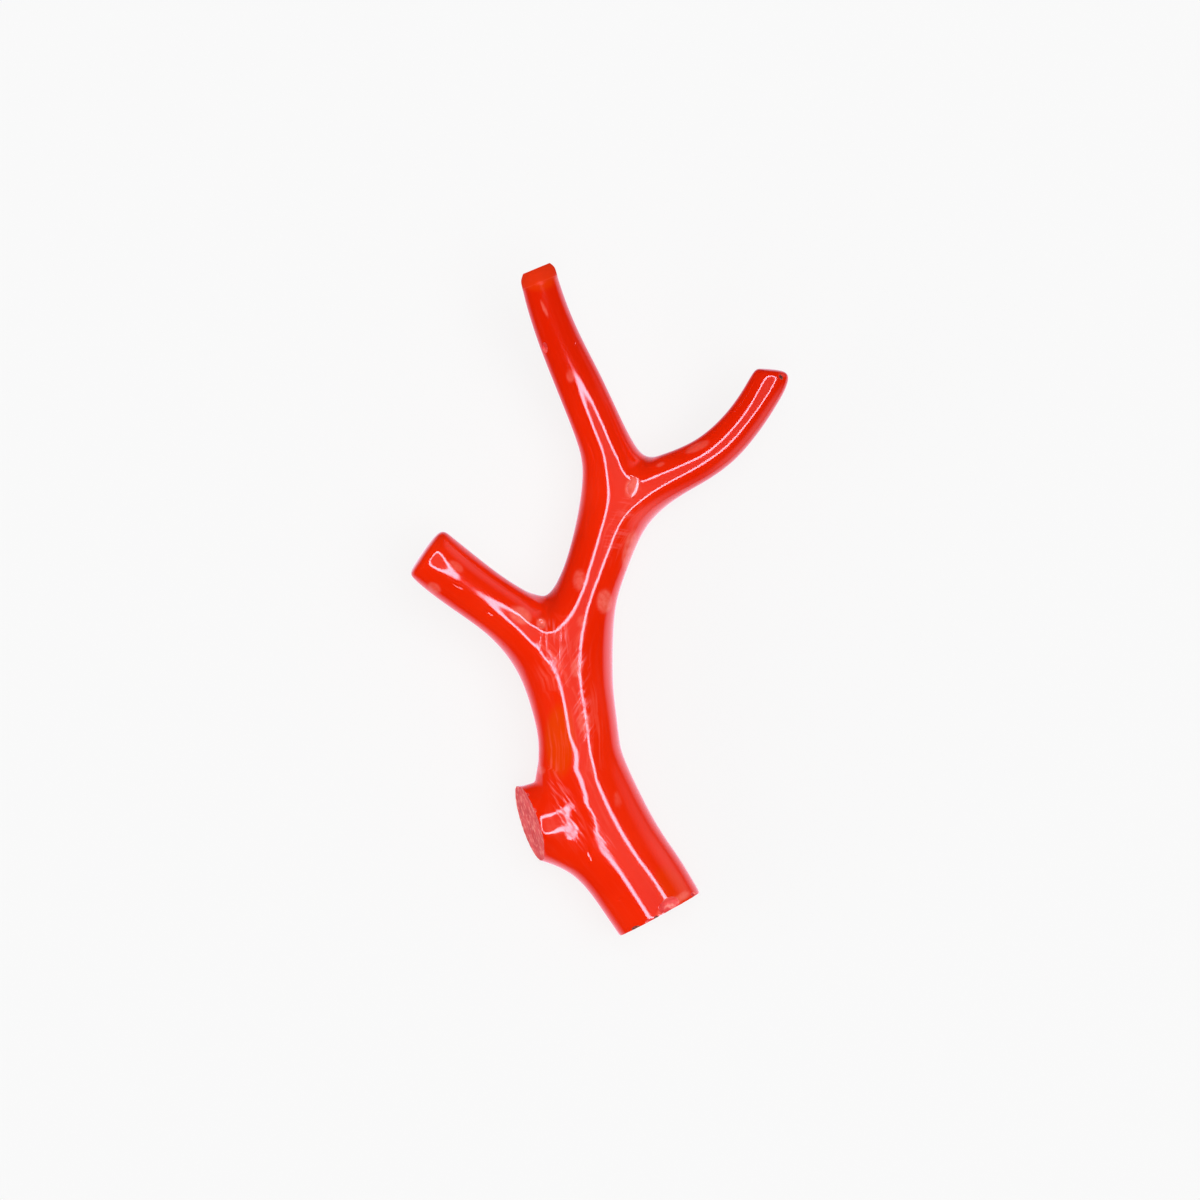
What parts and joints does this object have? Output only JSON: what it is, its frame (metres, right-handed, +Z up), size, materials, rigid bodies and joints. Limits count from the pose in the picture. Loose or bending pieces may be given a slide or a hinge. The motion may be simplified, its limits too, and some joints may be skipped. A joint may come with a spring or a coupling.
{
  "type": "red coral branch",
  "caption": "Polished branch of red precious coral, sawn from its base, with forked limbs and a short sawn stump.",
  "frame": {"origin": "centre of the box on the surface that the branch lies on, under its underside", "axes": "+Z up from the surface, +Y along the branch from its sawn foot towards its top branch, +X towards the side of the curved right branch"},
  "size_m": [0.0392, 0.0698, 0.0146],
  "materials": {
    "polished_coral": "polished, with dull granular sawn faces"
  },
  "bodies": {
    "root": {"trunk": "polished_coral", "left_branch": "polished_coral", "upper_stem": "polished_coral", "top_branch": "polished_coral", "right_branch": "polished_coral"}
  },
  "joints": []
}
